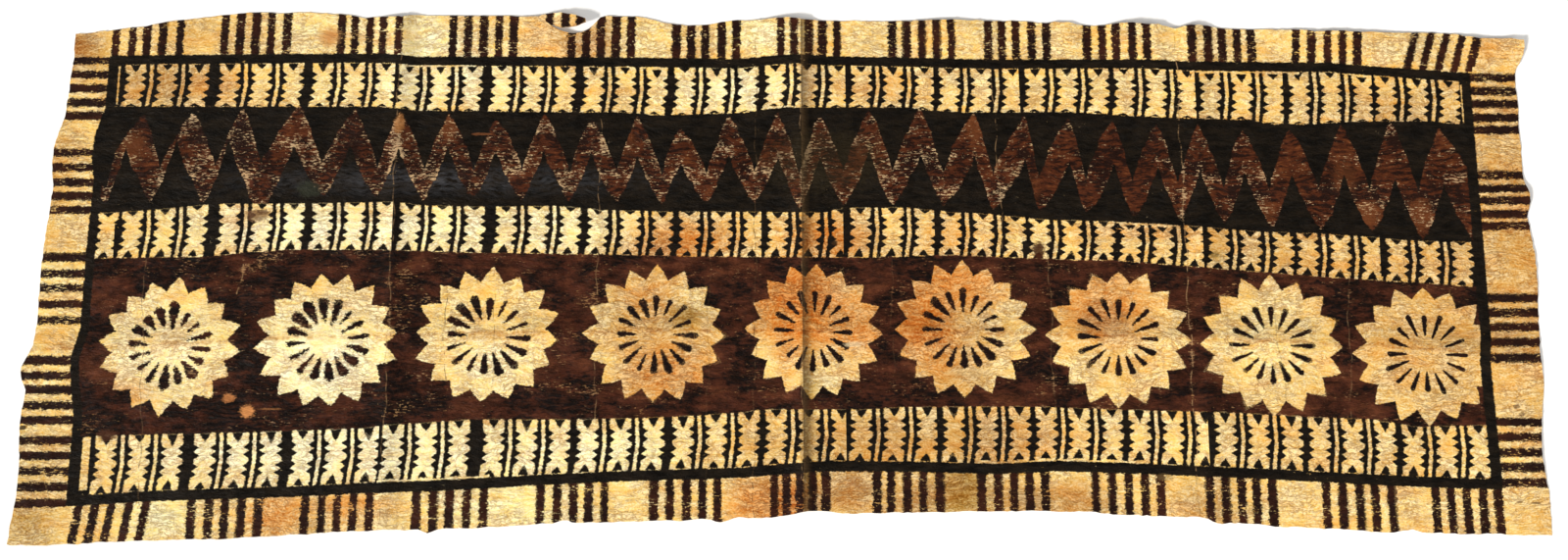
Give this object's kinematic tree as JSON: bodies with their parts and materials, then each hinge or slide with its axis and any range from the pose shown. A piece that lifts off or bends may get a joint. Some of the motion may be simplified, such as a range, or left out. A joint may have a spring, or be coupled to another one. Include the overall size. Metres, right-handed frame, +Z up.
{
  "type": "tapa bark cloth",
  "caption": "Long printed bark cloth lying face up: a flat sheet with soft fold creases, hand-torn edges, striped borders, toothed bands, a zigzag band and star flowers.",
  "frame": {"origin": "under the middle of the cloth's box, on the surface that it lies on", "axes": "+X along the cloth, +Y across it towards the torn edge, +Z up out of its printed face"},
  "size_m": [1.8358, 0.652, 0.0145],
  "materials": {
    "bark": "dry beaten bark, printed with matt black and brown dye"
  },
  "bodies": {
    "root": {"bark_cloth": "bark"}
  },
  "joints": []
}
